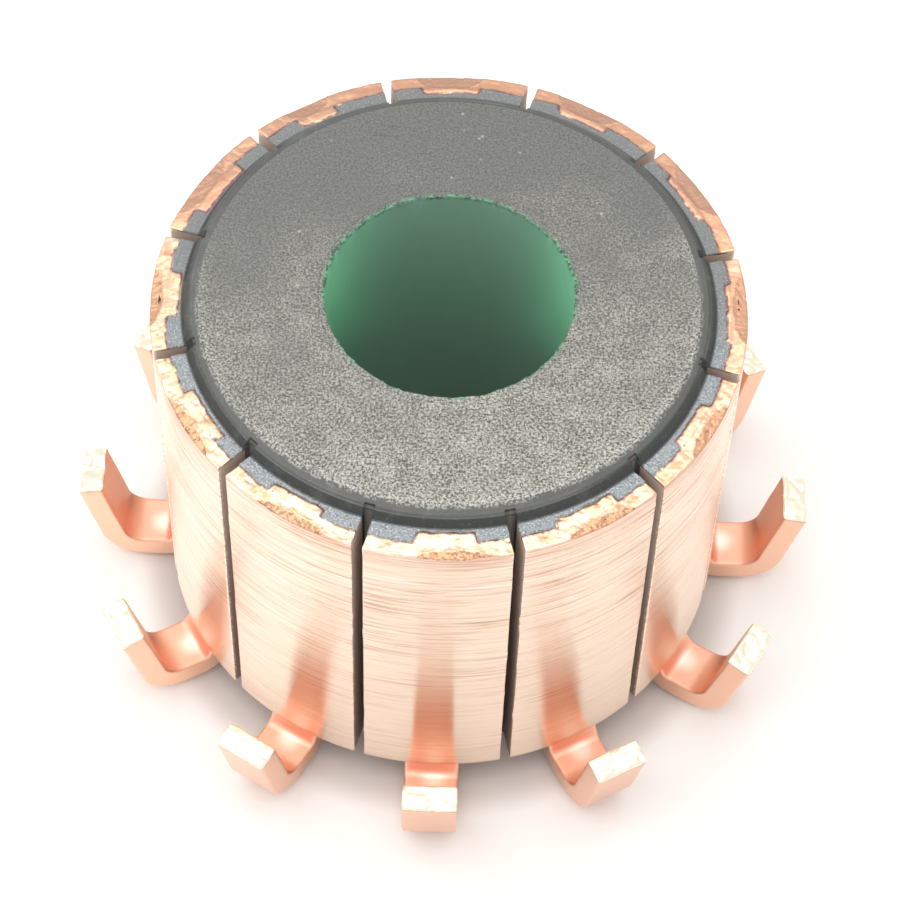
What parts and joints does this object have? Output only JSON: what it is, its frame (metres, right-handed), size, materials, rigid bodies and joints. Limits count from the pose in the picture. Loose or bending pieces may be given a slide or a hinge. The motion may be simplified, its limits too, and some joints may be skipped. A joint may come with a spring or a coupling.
{
  "type": "commutator",
  "caption": "Hook commutator for a small motor: copper bars with winding hooks round a moulded resin core, with an insulated shaft bore.",
  "frame": {"origin": "centre of the collar's lower face, on which the commutator stands", "axes": "+Z along the shaft bore, from the collar towards the raised disc at the brush end; -Y through the middle of bar_01"},
  "size_m": [0.0318, 0.0318, 0.019],
  "materials": {
    "phenolic": "dark grey moulding resin, end face machined to a speckled grey",
    "sleeve": "green insulating sleeve, satin",
    "copper": "bright turned copper on the brush surface, as drawn on the hooks"
  },
  "bodies": {
    "root": {"moulded_core": "phenolic", "bore_sleeve": "sleeve", "bar_01": "copper", "bar_02": "copper", "bar_03": "copper", "bar_04": "copper", "bar_05": "copper", "bar_06": "copper", "bar_07": "copper", "bar_08": "copper", "bar_09": "copper", "bar_10": "copper", "bar_11": "copper", "bar_12": "copper"}
  },
  "joints": []
}
